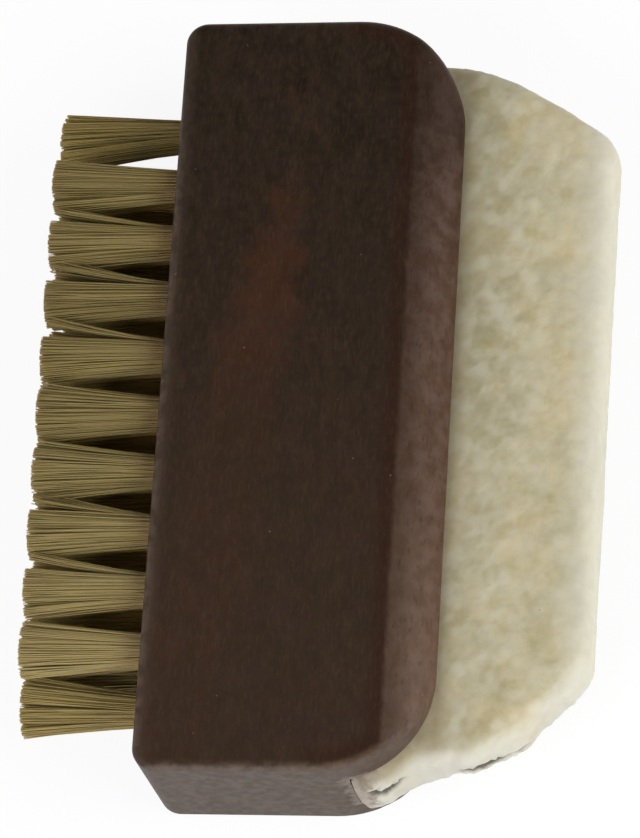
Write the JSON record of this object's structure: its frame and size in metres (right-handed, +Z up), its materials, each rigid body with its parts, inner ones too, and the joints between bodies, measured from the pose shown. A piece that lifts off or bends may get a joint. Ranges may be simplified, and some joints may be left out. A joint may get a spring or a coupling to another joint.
{
  "type": "suede brush",
  "caption": "Two-sided suede brush: a dark stained wooden block with bristle tufts along one long edge and a cream crepe-rubber slab set in a groove in the other.",
  "frame": {"origin": "centre of the block's footprint on its broad back face, which the brush lies on", "axes": "+Z up out of the broad front face, +Y along the block, +X toward the crepe, -X toward the bristle tips"},
  "size_m": [0.0715, 0.1, 0.02],
  "materials": {
    "stained_wood": "satin",
    "bristle": "matte",
    "crepe_rubber": "matte",
    "anchor_wire": "satin",
    "adhesive": "satin"
  },
  "bodies": {
    "root": {"anchors_back": "anchor_wire", "anchors_front": "anchor_wire", "anchors_middle": "anchor_wire", "crepe_glue": "adhesive", "crepe_slab": "crepe_rubber", "handle_block": "stained_wood", "tuft_back_01": "bristle", "tuft_back_02": "bristle", "tuft_back_03": "bristle", "tuft_back_04": "bristle", "tuft_back_05": "bristle", "tuft_back_06": "bristle", "tuft_back_07": "bristle", "tuft_back_08": "bristle", "tuft_back_09": "bristle", "tuft_front_01": "bristle", "tuft_front_02": "bristle", "tuft_front_03": "bristle", "tuft_front_04": "bristle", "tuft_front_05": "bristle", "tuft_front_06": "bristle", "tuft_front_07": "bristle", "tuft_front_08": "bristle", "tuft_front_09": "bristle", "tuft_middle_01": "bristle", "tuft_middle_02": "bristle", "tuft_middle_03": "bristle", "tuft_middle_04": "bristle", "tuft_middle_05": "bristle", "tuft_middle_06": "bristle", "tuft_middle_07": "bristle", "tuft_middle_08": "bristle", "tuft_middle_09": "bristle", "tuft_middle_10": "bristle", "tuft_middle_11": "bristle"}
  },
  "joints": []
}
